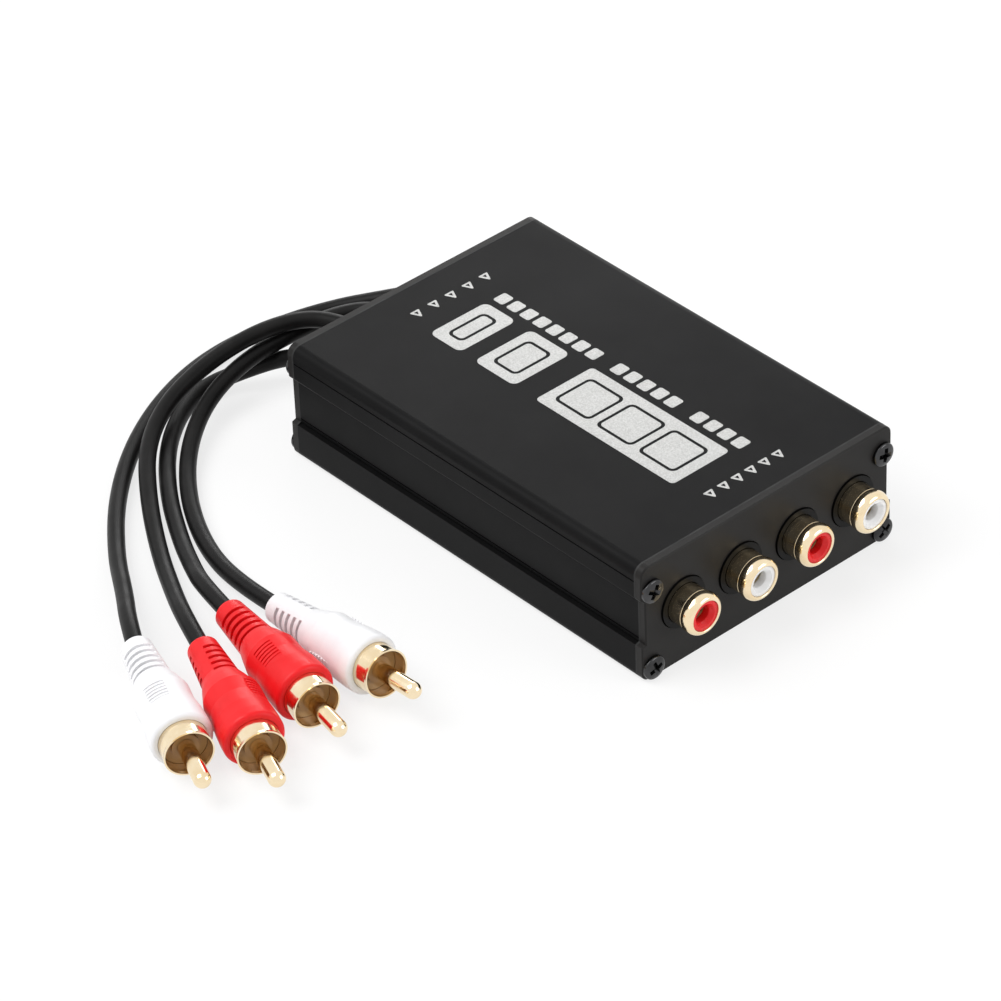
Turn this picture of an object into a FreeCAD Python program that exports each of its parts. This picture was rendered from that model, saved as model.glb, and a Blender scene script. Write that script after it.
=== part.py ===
import FreeCAD, Part
import math
import os

import Sketcher
from FreeCAD import Placement, Rotation, Vector

# Four-channel ground loop isolator: a split aluminium case with four phono jacks in its
# front panel, four isolating transformers on a circuit board inside it, and four phono
# leads that leave through boots in its rear panel and lie beside the case.
# X runs across the case, Y from the front panel to the rear panel, Z up. The origin is
# the middle of the case's underside. All lengths are in millimetres.

# Driving dimensions: name, value, what it measures
SIZES = [
    ("case_width", 61.0, "case, across"),
    ("case_height", 24.6, "case, underside to top face"),
    ("case_length", 94.0, "case, over both panels"),
    ("panel_thickness", 1.6, "front and rear panel"),
    ("panel_bevel", 0.25, "bevel round a panel's outer face"),
    ("bottom_corner", 1.7, "radius of the lower long edges"),
    ("top_corner", 2.0, "radius of the upper long edges"),
    ("seam_height", 7.6, "top of the lower shell's side"),
    ("seam_gap", 0.3, "dark line between the shells"),
    ("ridge_height", 0.55, "band above the seam"),
    ("ridge_groove_width", 0.35, "groove above that band"),
    ("ridge_groove_depth", 0.47, "groove above that band"),
    ("side_recess", 0.88, "how far the side wall lies back"),
    ("skirt_drop", 6.5, "skirt's lower edge, below the top face"),
    ("step_height", 1.3, "soft step below the skirt"),
    ("line_drop", 3.05, "fine line, below the top face"),
    ("line_width", 0.3, "fine line"),
    ("line_depth", 0.35, "fine line"),
    ("plate_wall", 1.5, "floor and roof"),
    ("skirt_wall", 1.6, "side wall above the step"),
    ("side_wall", 1.9, "side wall below the step"),
    ("outer_lip", 1.12, "wall outside the tongue's groove"),
    ("inner_lip", 1.08, "wall inside the tongue's groove"),
    ("tongue_thickness", 0.9, "tongue of the upper shell"),
    ("tongue_reach", 2.3, "tongue below the seam"),
    ("shell_fit", 0.1, "play between tongue and groove"),
    ("guide_reach", 1.1, "board guides, out from the side"),
    ("guide_rib", 0.7, "upper board guide"),
    ("guide_ledge", 0.9, "lower board guide"),
    ("port_radius", 2.25, "screw port, outside"),
    ("port_core", 1.05, "screw port, hole"),
    ("port_slot", 1.1, "screw port, slot to the inside"),
    ("screw_side_inset", 2.4, "screw axis from the case side"),
    ("screw_low_inset", 2.45, "lower screw axis from the underside"),
    ("screw_high_inset", 5.4, "upper screw axis from the top face"),
    ("screw_head_radius", 2.35, "panel screw"),
    ("screw_head_rim", 0.45, "panel screw, straight edge of its head"),
    ("screw_head_height", 1.5, "panel screw"),
    ("screw_radius", 1.0, "panel screw"),
    ("screw_length", 8.0, "panel screw, below its head"),
    ("screw_tip", 0.35, "panel screw, bevel of its tip"),
    ("screw_hole_play", 0.45, "panel hole round a screw"),
    ("cross_length", 2.7, "cross recess, arm to arm"),
    ("cross_width", 0.6, "cross recess, arm"),
    ("cross_depth", 0.95, "cross recess, from the head's top"),
    ("board_thickness", 1.6, "circuit board"),
    ("board_side_play", 0.2, "circuit board to the side of its guide"),
    ("board_top_play", 0.2, "circuit board to the upper guide"),
    ("board_end_gap", 0.4, "circuit board to each panel"),
    ("jack_side_share", 0.3824, "room beside the outer jacks, as a share of that between jacks"),
    ("jack_height", 12.7, "jack axis above the underside"),
    ("jack_reach", 5.9, "jack barrel in front of the panel"),
    ("barrel_radius", 4.15, "jack barrel"),
    ("barrel_wall", 0.5, "jack barrel"),
    ("barrel_length", 11.9, "jack barrel"),
    ("barrel_tail_radius", 3.95, "jack barrel inside its collar"),
    ("barrel_shoulder_gap", 0.1, "barrel's shoulder in front of the collar"),
    ("barrel_lip_radius", 3.0, "opening of the rolled lip"),
    ("barrel_lip_depth", 1.0, "rolled lip"),
    ("barrel_edge", 0.45, "rounding of the barrel's front edge"),
    ("barrel_fit", 0.05, "play round the barrel, in and out"),
    ("nose_setback", 0.3, "insert's nose behind the barrel's edge"),
    ("socket_radius", 1.65, "hole for a plug's pin"),
    ("socket_mouth_radius", 2.3, "countersink of that hole"),
    ("socket_mouth_depth", 0.8, "countersink of that hole"),
    ("nose_depth", 2.2, "insert ahead of its contact"),
    ("contact_wall", 0.55, "contact tube"),
    ("contact_length", 6.0, "contact tube"),
    ("contact_back", 0.8, "closed end of the contact tube"),
    ("relief_radius", 1.85, "widened bottom of the contact's hole"),
    ("relief_depth", 0.3, "widened bottom of the contact's hole"),
    ("stem_radius", 0.9, "contact stem through the housing"),
    ("tail_width", 1.6, "contact tail"),
    ("tail_thickness", 0.6, "contact tail"),
    ("housing_width", 10.0, "jack housing"),
    ("housing_height", 10.4, "jack housing"),
    ("housing_depth", 9.0, "jack housing behind the panel"),
    ("housing_corner", 0.8, "jack housing, upright edges"),
    ("collar_wall", 1.05, "black collar round the barrel"),
    ("collar_proud", 0.35, "collar in front of the panel"),
    ("collar_play", 0.15, "panel hole round the collar"),
    ("core_leg", 3.2, "transformer core, outer leg and yoke"),
    ("core_depth", 7.5, "transformer core, stack"),
    ("window_width", 3.1, "transformer core, window"),
    ("core_roof_gap", 0.4, "transformer core below the roof"),
    ("core_lift", 1.0, "core above the board"),
    ("bobbin_wall", 0.6, "bobbin, tube and flanges"),
    ("bobbin_fit", 0.1, "play between bobbin and core"),
    ("bobbin_reach", 2.3, "bobbin flange beyond the core's face"),
    ("rail_thickness", 1.5, "bobbin's foot rails"),
    ("winding_inset", 0.25, "winding below the flange's edge"),
    ("winding_corner", 1.4, "winding, rounded edges"),
    ("transformer_along", 15.0, "transformer from the cross plane"),
    ("exit_pitch", 10.0, "boot to boot"),
    ("exit_height", 12.0, "boot axis above the underside"),
    ("boot_neck_radius", 2.6, "boot in its panel hole"),
    ("boot_hole_play", 0.1, "panel hole round a boot"),
    ("boot_inner_radius", 3.4, "boot flange inside the panel"),
    ("boot_inner_thickness", 1.0, "boot flange inside the panel"),
    ("boot_outer_radius", 3.5, "boot flange outside the panel"),
    ("boot_outer_thickness", 1.2, "boot flange outside the panel"),
    ("boot_rib_radius", 2.75, "rib round the boot's tail"),
    ("boot_rib_width", 0.7, "rib round the boot's tail"),
    ("boot_tail_radius", 2.1, "boot's tail where the cord leaves it"),
    ("boot_tail_length", 5.4, "boot's tail ahead of its ball"),
    ("cord_diameter", 3.25, "cord"),
    ("plug_rear_radius", 2.3, "plug body, face at the cord"),
    ("plug_sleeve_start", 2.9, "strain relief, radius at its rear"),
    ("plug_sleeve_end", 3.65, "strain relief, radius at the grip"),
    ("plug_sleeve_length", 10.5, "strain relief"),
    ("plug_shoulder", 4.3, "grip, radius where it starts"),
    ("plug_shoulder_place", 12.5, "from the cord to the grip's start"),
    ("plug_swell", 5.15, "grip, widest radius of its rear half"),
    ("plug_swell_place", 15.5, "from the cord to that place"),
    ("plug_waist", 5.05, "grip, radius at its waist"),
    ("plug_waist_place", 19.0, "from the cord to the waist"),
    ("plug_flare", 5.5, "grip, radius ahead of the waist"),
    ("plug_flare_place", 22.5, "from the cord to that place"),
    ("plug_collar", 5.65, "grip, radius of its front end"),
    ("plug_collar_place", 25.2, "from the cord to the front end"),
    ("plug_length", 27.6, "plug body"),
    ("plug_edge", 0.8, "rounding of the plug body's ends"),
    ("slot_first", 2.7, "first slot of the strain relief"),
    ("slot_pitch", 1.75, "slot to slot"),
    ("slot_width", 0.8, "slot"),
    ("slot_stagger", 0.875, "slots of one row ahead of the other row's"),
    ("slot_floor", 1.45, "slot's floor from the plug's axis"),
    ("pad_middle", 19.0, "grip pad from the cord"),
    ("pad_half_length", 3.3, "grip pad"),
    ("pad_half_width", 1.9, "grip pad"),
    ("pad_corner", 1.2, "grip pad, rounding of its ends"),
    ("pad_proud", 0.35, "grip pad above the waist"),
    ("pad_rib_depth", 0.25, "grip pad, grooves between its ribs"),
    ("pad_rib_pitch", 0.8, "grip pad, rib to rib"),
    ("pad_rib_width", 0.45, "grip pad, rib"),
    ("ring_radius", 4.45, "plug's outer contact"),
    ("ring_wall", 0.3, "plug's outer contact"),
    ("ring_flare", 0.12, "widening of the ring's lip"),
    ("ring_reach", 3.7, "ring in front of the plug body"),
    ("ring_seat", 3.0, "ring inside the plug body"),
    ("ring_fit", 0.05, "play round the ring, in and out"),
    ("insulator_reach", 0.9, "insulator in front of the plug body"),
    ("insulator_hub_radius", 2.5, "insulator's hub round the pin"),
    ("insulator_hub_length", 0.8, "hub in front of the insulator"),
    ("pin_radius", 1.6, "plug's pin"),
    ("pin_root_radius", 1.3, "pin inside the insulator"),
    ("pin_shoulder_gap", 0.1, "pin's shoulder in front of the hub"),
    ("pin_end", 40.2, "pin's tip from the cord"),
]

# Numbers of like pieces
JACK_COUNT = 4
LEAD_COUNT = 4
SLOT_COUNT = 5
RIB_COUNT = 7

# How much of the shorter run at each bend of a cord its arc takes up at that end
ARC_SHARE = 0.45

# How far a cord's volume may lie from its section times its length
VOLUME_SHARE = 0.01

# How far each panel screw's cross is turned, front panel first, in degrees
SCREW_TURNS = [18, 62, 35, 80, 51, 8, 71, 29]

# How far each plug is turned about its own axis, in degrees
PLUG_ROLLS = [20, -46, 30, 104]

# The cords' routes from the boot to the plug, chosen by hand. The first two points give
# the boot's tail its direction and the last two give the plug its own.
ROUTES = [
    [(14.4, 53.8, 10.5), (13.5, 60, 8.6), (9.1, 66.3, 6.1), (1.8, 73, 4.2),
     (-8.8, 78.4, 2.4), (-22.7, 80.1, 1.7), (-37.3, 76.2, 1.7), (-51.8, 68, 1.7),
     (-64.6, 56.7, 1.7), (-75, 43.6, 1.7), (-82.2, 32.6, 3.2), (-88.4, 24.9, 5.65),
     (-91.6, 17, 5.65)],
    [(-6.4, 53.8, 12.1), (-8.3, 60, 12.7), (-13, 65.1, 12.9), (-21.2, 68.6, 11.8),
     (-31.2, 71, 9), (-41.9, 70.2, 5.8), (-51.8, 64.6, 3.6), (-60.6, 52.9, 2.1),
     (-68.6, 39.2, 1.7), (-75.2, 27, 3.3), (-80.2, 17.4, 5.65), (-83.4, 8.8, 5.65)],
    [(-15, 53.7, 10.5), (-15.1, 60.1, 7.9), (-17.1, 66.3, 5.2), (-22.7, 70.4, 3.2),
     (-30.9, 71.5, 2), (-39.7, 68.6, 1.7), (-48.2, 62.2, 1.7), (-56.6, 51.4, 1.7),
     (-63.4, 39.6, 1.9), (-68.4, 29.8, 3.6), (-71.9, 22.5, 5.65), (-73.6, 13.4, 5.65)],
    [(3.2, 53.7, 11.6), (1, 59.6, 11), (-4.4, 64, 10.3), (-12.9, 66.4, 9.3),
     (-24, 67.7, 7.8), (-35, 66.2, 4.9), (-45.6, 59.3, 2.4), (-55.1, 47.5, 1.7),
     (-61.8, 34, 1.7), (-64.5, 21.8, 2.4), (-64.9, 10.8, 3.55)],
]

# Which boot each cord leaves, counted from the left side of the case
EXIT_OF_LEAD = [3, 1, 0, 2]


class Size:
    """A length with its number and the formula that ties it to the driving dimensions."""

    def __init__(self, number, formula):
        self.number = float(number)
        self.formula = formula

    def __add__(self, other):
        other = as_size(other)
        return Size(self.number + other.number, f"({self.formula} + {other.formula})")

    def __sub__(self, other):
        other = as_size(other)
        return Size(self.number - other.number, f"({self.formula} - {other.formula})")

    def __mul__(self, other):
        other = as_size(other)
        return Size(self.number * other.number, f"({self.formula} * {other.formula})")

    def __truediv__(self, other):
        other = as_size(other)
        return Size(self.number / other.number, f"({self.formula} / {other.formula})")

    def __neg__(self):
        return Size(-self.number, f"(0 - {self.formula})")


def as_size(value):
    """A plain number as a length of its own."""
    if isinstance(value, Size):
        return value
    return Size(value, f"{value:.6g}")


def leg(long_side, short_side):
    """Other short side of a right triangle: how far a circle reaches beside its axis."""
    square = long_side * long_side - short_side * short_side
    return Size(math.sqrt(square.number), f"sqrt({square.formula})")


class Dimensions:
    """The driving dimensions by name."""


doc = FreeCAD.newDocument("ground_loop_isolator")
sheet = doc.addObject("Spreadsheet::Sheet", "sizes")
dim = Dimensions()
for row, (alias, value, note) in enumerate(SIZES, start=1):
    sheet.set(f"A{row}", alias)
    sheet.set(f"B{row}", f"{value:g}")
    sheet.set(f"C{row}", note)
    sheet.setAlias(f"B{row}", alias)
    setattr(dim, alias, Size(value, f"sizes.{alias}"))
doc.recompute()

# Places worked out from the driving dimensions
half_width = dim.case_width * 0.5
half_length = dim.case_length * 0.5
shell_length = dim.case_length - dim.panel_thickness * 2
panel_back = half_length - dim.panel_thickness
recess_face = half_width - dim.side_recess
seam_top = dim.seam_height + dim.seam_gap
ridge_top = seam_top + dim.ridge_height
step_top = dim.case_height - dim.skirt_drop
recess_top = step_top - dim.step_height
line_top = dim.case_height - dim.line_drop
roof = dim.case_height - dim.plate_wall

groove_outer = half_width - dim.outer_lip
groove_width = dim.tongue_thickness + dim.shell_fit * 2
groove_inner = groove_outer - groove_width
rail_inner = groove_inner - dim.inner_lip
guide_tip = rail_inner - dim.guide_reach

board_room = dim.board_thickness + dim.board_top_play
board_under = dim.seam_height - dim.guide_rib - board_room
board_top = board_under + dim.board_thickness
ledge_under = board_under - dim.guide_ledge

screw_across = half_width - dim.screw_side_inset
screw_low = dim.screw_low_inset
screw_high = dim.case_height - dim.screw_high_inset

barrel_front = -(half_length + dim.jack_reach)
barrel_back = barrel_front + dim.barrel_length
barrel_inside = dim.barrel_radius - dim.barrel_wall
barrel_shoulder = -(half_length + dim.collar_proud + dim.barrel_shoulder_gap)
housing_bore = dim.barrel_tail_radius + dim.barrel_fit
collar_radius = housing_bore + dim.collar_wall
collar_hole = collar_radius + dim.collar_play
jack_room = rail_inner - collar_hole * JACK_COUNT
jack_gap = jack_room * 2 / (dim.jack_side_share * 2 + (JACK_COUNT - 1))
jack_pitch = collar_hole * 2 + jack_gap

core_under = board_top + dim.core_lift
core_width = dim.window_width * 2 + dim.core_leg * 4
core_height = roof - dim.core_roof_gap - core_under
window_height = core_height - dim.core_leg * 2
transformer_side = rail_inner * 0.5
core_middle = core_under + core_height * 0.5

ring_inside = dim.ring_radius - dim.ring_wall
cord_radius = dim.cord_diameter * 0.5


def at(across, up):
    """A corner reached by a straight edge."""
    return (as_size(across), as_size(up), None, 1, False)


def arc_to(across, up, radius, turn=1, long_way=False):
    """A corner reached by an arc that turns left (1) or right (-1)."""
    return (as_size(across), as_size(up), as_size(radius), turn, long_way)


def mirrored(half):
    """The whole outline from its right half, whose ends are joined by straight edges."""
    whole = list(half)
    arrival = (None, 1, False)
    for across, up, radius, turn, long_way in reversed(half):
        whole.append((-across, up) + arrival)
        arrival = (radius, turn, long_way)
    return whole


def arc_between(start, end, radius, turn, long_way):
    """Arc geometry through two points, with the side and the length that are asked for."""
    chord = end - start
    middle = (start + end) * 0.5
    rise = math.sqrt(max(radius * radius - chord.Length ** 2 / 4, 0.0))
    side = Vector(-chord.y, chord.x, 0).normalize() * (turn * rise)
    if long_way:
        side = side * -1
    centre = middle + side
    first, last = (start, end) if turn > 0 else (end, start)
    first_angle = math.atan2(first.y - centre.y, first.x - centre.x)
    last_angle = math.atan2(last.y - centre.y, last.x - centre.x)
    circle = Part.Circle(centre, Vector(0, 0, 1), radius)
    if last_angle <= first_angle:
        last_angle += 2 * math.pi
    return Part.ArcOfCircle(circle, first_angle, last_angle)


def draw_outline(sketch, corners):
    """Draw one closed outline and tie each of its corners and radii to the sizes."""
    first_edge = sketch.GeometryCount
    count = len(corners)
    edges = []
    starts = []
    ends = []
    rules = []
    formulas = []
    for index, corner in enumerate(corners):
        before = corners[index - 1]
        start = Vector(before[0].number, before[1].number, 0)
        end = Vector(corner[0].number, corner[1].number, 0)
        edge = first_edge + index
        if corner[2] is None:
            edges.append(Part.LineSegment(start, end))
            forward = True
        else:
            edges.append(arc_between(start, end, corner[2].number, corner[3], corner[4]))
            forward = corner[3] > 0
        starts.append((edge, 1 if forward else 2))
        ends.append((edge, 2 if forward else 1))
    sketch.addGeometry(edges, False)
    for index, corner in enumerate(corners):
        after = (index + 1) % count
        edge, point = ends[index]
        rules.append(Sketcher.Constraint("Coincident", edge, point, *starts[after]))
        for kind, size in (("DistanceX", corner[0]), ("DistanceY", corner[1])):
            formulas.append((len(rules), size))
            rules.append(Sketcher.Constraint(kind, -1, 1, edge, point, size.number))
        if corner[2] is not None:
            formulas.append((len(rules), corner[2]))
            rules.append(Sketcher.Constraint("Radius", edge, corner[2].number))
    tie(sketch, rules, formulas)


def draw_circles(sketch, circles):
    """Draw round outlines, each given by its middle and radius."""
    first_edge = sketch.GeometryCount
    rules = []
    formulas = []
    edges = []
    for across, up, radius in circles:
        middle = Vector(across.number, up.number, 0)
        edges.append(Part.Circle(middle, Vector(0, 0, 1), radius.number))
    sketch.addGeometry(edges, False)
    for index, (across, up, radius) in enumerate(circles):
        edge = first_edge + index
        for kind, size in (("DistanceX", across), ("DistanceY", up)):
            formulas.append((len(rules), size))
            rules.append(Sketcher.Constraint(kind, -1, 1, edge, 3, size.number))
        formulas.append((len(rules), radius))
        rules.append(Sketcher.Constraint("Radius", edge, radius.number))
    tie(sketch, rules, formulas)


def tie(sketch, rules, formulas):
    """Add constraints and bind the measured ones."""
    first_rule = sketch.ConstraintCount
    sketch.addConstraint(rules)
    for index, size in formulas:
        sketch.setExpression(f"Constraints[{first_rule + index}]", size.formula)


def rectangle(left, right, low, high):
    """Four corners of an upright rectangle."""
    return [at(left, low), at(right, low), at(right, high), at(left, high)]


def rounded_rectangle(left, right, low, high, radius):
    """A rectangle with four rounded corners."""
    return [
        arc_to(left + radius, low, radius),
        at(right - radius, low),
        arc_to(right, low + radius, radius),
        at(right, high - radius),
        arc_to(right - radius, high, radius),
        at(left + radius, high),
        arc_to(left, high - radius, radius),
        at(left, low + radius),
    ]


def new_body(name):
    """An empty body that will carry one piece."""
    body = doc.addObject("PartDesign::Body", name)
    body.Label = name
    return body


def new_sketch(body, plane_role, offset=None):
    """A sketch on one of the body's own origin planes, or parallel to it."""
    plane = next(item for item in body.Origin.OriginFeatures if item.Role == plane_role)
    sketch = body.newObject("Sketcher::SketchObject", body.Name + "_sketch")
    sketch.AttachmentSupport = (plane, [""])
    sketch.MapMode = "FlatFace"
    if offset is not None:
        sketch.AttachmentOffset = Placement(Vector(0, 0, offset.number), Rotation())
        sketch.setExpression(".AttachmentOffset.Base.z", offset.formula)
    return sketch


def extrude(body, sketch, length, symmetric=False, toward_back=False):
    """Add a straight extrusion of a sketch."""
    pad = body.newObject("PartDesign::Pad", body.Name + "_pad")
    pad.Profile = (sketch, [""])
    pad.setExpression("Length", length.formula)
    if symmetric:
        pad.SideType = "Symmetric"
    pad.Reversed = toward_back
    return pad


def cut_through(body, sketch):
    """Cut a sketch through the whole body, both ways."""
    pocket = body.newObject("PartDesign::Pocket", body.Name + "_pocket")
    pocket.Profile = (sketch, [""])
    pocket.SideType = "Symmetric"
    pocket.Type = "ThroughAll"
    return pocket


def revolve(body, sketch, axis, kind="PartDesign::Revolution"):
    """Turn a sketch once round one of its own axes, as metal added or cut away."""
    turned = body.newObject(kind, body.Name + "_turn")
    turned.Profile = (sketch, [""])
    turned.ReferenceAxis = (sketch, [axis])
    turned.Angle = 360
    return turned


def place(piece, across, along, up, rotation=None):
    """Set a piece where its sizes say."""
    position = [as_size(value) for value in (across, along, up)]
    point = Vector(*[value.number for value in position])
    piece.Placement = Placement(point, rotation or Rotation())
    for axis, value in zip("xyz", position):
        piece.setExpression(f".Placement.Base.{axis}", value.formula)


def centres(count, pitch):
    """Places of like pieces in a row about the middle plane."""
    return [pitch * (index - (count - 1) / 2) for index in range(count)]


def port_slot(up):
    """The slot and hole of a screw port, entered from above its middle."""
    mouth = screw_across - leg(dim.port_radius, dim.port_slot * 0.5)
    throat = screw_across - leg(dim.port_core, dim.port_slot * 0.5)
    upper = up + dim.port_slot * 0.5
    lower = up - dim.port_slot * 0.5
    return [
        arc_to(mouth, upper, dim.port_radius),
        at(throat, upper),
        arc_to(throat, lower, dim.port_core, -1, True),
        at(mouth, lower),
    ]


def side_step():
    """The soft step from the recessed side wall out to the skirt."""
    slope = dim.side_recess * dim.side_recess + dim.step_height * dim.step_height
    radius = slope / (dim.side_recess * 4)
    return [
        at(recess_face, recess_top),
        arc_to(recess_face + dim.side_recess * 0.5, recess_top + dim.step_height * 0.5,
               radius, -1),
        arc_to(half_width, step_top, radius),
    ]


def make_bottom_shell():
    """Lower half of the case: floor, board guides, screw ports and the tongue's groove."""
    groove_floor = dim.seam_height - dim.tongue_reach - dim.shell_fit
    guide_under = dim.seam_height - dim.guide_rib
    ledge_meets_port = screw_across - leg(dim.port_radius, ledge_under - screw_low)
    floor_meets_port = screw_across - leg(dim.port_radius, screw_low - dim.plate_wall)
    half = [
        at(half_width - dim.bottom_corner, 0),
        arc_to(half_width, dim.bottom_corner, dim.bottom_corner),
        at(half_width, dim.seam_height),
        at(groove_outer, dim.seam_height),
        at(groove_outer, groove_floor),
        at(groove_inner, groove_floor),
        at(groove_inner, dim.seam_height),
        at(guide_tip, dim.seam_height),
        at(guide_tip, guide_under),
        at(rail_inner, guide_under),
        at(rail_inner, board_under),
        at(guide_tip, board_under),
        at(guide_tip, ledge_under),
        at(ledge_meets_port, ledge_under),
    ]
    half += port_slot(screw_low)
    half.append(arc_to(floor_meets_port, dim.plate_wall, dim.port_radius))
    body = new_body("bottom_shell")
    section = new_sketch(body, "XZ_Plane")
    draw_outline(section, mirrored(half))
    extrude(body, section, shell_length, symmetric=True)
    return body


def make_top_shell():
    """Upper half of the case: roof, stepped sides, screw ports and the two tongues."""
    skirt_inner = half_width - dim.skirt_wall
    wall_inner = recess_face - dim.side_wall
    tongue_outer = groove_outer - dim.shell_fit
    tongue_inner = tongue_outer - dim.tongue_thickness
    tongue_tip = dim.seam_height - dim.tongue_reach
    skirt_meets_port = screw_high + leg(dim.port_radius, skirt_inner - screw_across)
    wall_meets_port = screw_high - leg(dim.port_radius, screw_across - wall_inner)
    half = [at(skirt_inner, roof), at(skirt_inner, skirt_meets_port)]
    half += port_slot(screw_high)
    half += [
        arc_to(wall_inner, wall_meets_port, dim.port_radius),
        at(wall_inner, dim.seam_height),
        at(tongue_inner, dim.seam_height),
        at(tongue_inner, tongue_tip),
        at(tongue_outer, tongue_tip),
        at(tongue_outer, seam_top),
        at(recess_face, seam_top),
        at(recess_face, ridge_top),
        at(recess_face - dim.ridge_groove_depth, ridge_top),
        at(recess_face - dim.ridge_groove_depth, ridge_top + dim.ridge_groove_width),
        at(recess_face, ridge_top + dim.ridge_groove_width),
    ]
    half += side_step()
    half += [
        at(half_width, line_top - dim.line_width),
        at(half_width - dim.line_depth, line_top - dim.line_width),
        at(half_width - dim.line_depth, line_top),
        at(half_width, line_top),
        at(half_width, dim.case_height - dim.top_corner),
        arc_to(half_width - dim.top_corner, dim.case_height, dim.top_corner),
    ]
    body = new_body("top_shell")
    section = new_sketch(body, "XZ_Plane")
    draw_outline(section, mirrored(half))
    extrude(body, section, shell_length, symmetric=True)
    return body


def make_panel(name, inner_face, turned, openings):
    """An end panel with the case's own outline, its openings and its screw holes."""
    half = [
        at(half_width - dim.bottom_corner, 0),
        arc_to(half_width, dim.bottom_corner, dim.bottom_corner),
        at(half_width, dim.seam_height),
        at(recess_face, seam_top),
    ]
    half += side_step()
    half += [
        at(half_width, dim.case_height - dim.top_corner),
        arc_to(half_width - dim.top_corner, dim.case_height, dim.top_corner),
    ]
    body = new_body(name)
    outline = new_sketch(body, "XZ_Plane")
    draw_outline(outline, mirrored(half))
    extrude(body, outline, dim.panel_thickness)
    hole = dim.screw_radius + dim.screw_hole_play
    holes = list(openings)
    for across in (-screw_across, screw_across):
        holes += [(across, screw_low, hole), (across, screw_high, hole)]
    drilling = new_sketch(body, "XZ_Plane")
    draw_circles(drilling, holes)
    cut_through(body, drilling)
    doc.recompute()
    bevel_outer_edges(body)
    rotation = Rotation(Vector(0, 0, 1), 180 if turned else 0)
    place(body, 0, inner_face, 0, rotation)
    return body


def bevel_outer_edges(body):
    """Bevel the rim of a panel's outer face."""
    drilled = body.Tip
    outer_face = -dim.panel_thickness.number
    near = 1e-4
    rim = []
    for index, edge in enumerate(drilled.Shape.Edges, start=1):
        box = edge.BoundBox
        on_face = abs(box.YMin - outer_face) < near and abs(box.YMax - outer_face) < near
        round_hole = edge.isClosed()
        if on_face and not round_hole:
            rim.append(f"Edge{index}")
    bevel = body.newObject("PartDesign::Chamfer", body.Name + "_bevel")
    bevel.Base = (drilled, rim)
    bevel.setExpression("Size", dim.panel_bevel.formula)


def make_front_panel():
    """Front panel with a hole for each jack's collar."""
    openings = [(across, dim.jack_height, collar_hole)
                for across in centres(JACK_COUNT, jack_pitch)]
    return make_panel("front_panel", -panel_back, False, openings)


def make_rear_panel():
    """Rear panel with a hole for each boot."""
    hole = dim.boot_neck_radius + dim.boot_hole_play
    openings = [(across, dim.exit_height, hole) for across in centres(LEAD_COUNT, dim.exit_pitch)]
    return make_panel("rear_panel", panel_back, True, openings)


def make_screw_form():
    """A cross-recessed round-head screw on its own axis, head upward."""
    dome = dim.screw_head_height - dim.screw_head_rim
    square = dim.screw_head_radius * dim.screw_head_radius + dome * dome
    dome_radius = square / (dome * 2)
    body = new_body("panel_screw_form")
    profile = new_sketch(body, "XZ_Plane")
    draw_outline(profile, [
        at(0, -dim.screw_length),
        at(dim.screw_radius - dim.screw_tip, -dim.screw_length),
        at(dim.screw_radius, dim.screw_tip - dim.screw_length),
        at(dim.screw_radius, 0),
        at(dim.screw_head_radius, 0),
        at(dim.screw_head_radius, dim.screw_head_rim),
        arc_to(0, dim.screw_head_height, dome_radius),
    ])
    revolve(body, profile, "V_Axis")
    arm = dim.cross_length * 0.5
    flank = dim.cross_width * 0.5
    cross = new_sketch(body, "XY_Plane", dim.screw_head_height)
    draw_outline(cross, [
        at(arm, -flank), at(arm, flank), at(flank, flank),
        at(flank, arm), at(-flank, arm), at(-flank, flank),
        at(-arm, flank), at(-arm, -flank), at(-flank, -flank),
        at(-flank, -arm), at(flank, -arm), at(flank, -flank),
    ])
    recess = body.newObject("PartDesign::Pocket", "panel_screw_recess")
    recess.Profile = (cross, [""])
    recess.setExpression("Length", dim.cross_depth.formula)
    return body


def make_panel_screws():
    """The eight panel screws as one group, four in each panel."""
    form = make_screw_form()
    turns = iter(SCREW_TURNS)
    screws = []
    for face, lean in ((-half_length, 90), (half_length, -90)):
        for across in (-screw_across, screw_across):
            for up in (screw_low, screw_high):
                screw = form
                if screws:
                    screw = doc.addObject("App::Link", "panel_screw_copy")
                    screw.LinkedObject = form
                axis_turn = Rotation(Vector(0, 0, 1), next(turns))
                place(screw, across, face, up, Rotation(Vector(1, 0, 0), lean) * axis_turn)
                screws.append(screw)
    group = doc.addObject("Part::Compound", "panel_screws")
    group.Links = screws
    group.Label = "panel_screws"
    return group


def make_box(name, low, high):
    """A plain block between two corners."""
    block = doc.addObject("Part::Box", name)
    block.Label = name
    for side, start, end in zip(("Length", "Width", "Height"), low, high):
        block.setExpression(side, (as_size(end) - start).formula)
    place(block, *low)
    return block


def make_circuit_board():
    """The board that carries the transformers, jacks and leads."""
    half_board = rail_inner - dim.board_side_play
    end = panel_back - dim.board_end_gap
    return make_box("circuit_board", (-half_board, -end, board_under),
                    (half_board, end, board_top))


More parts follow.
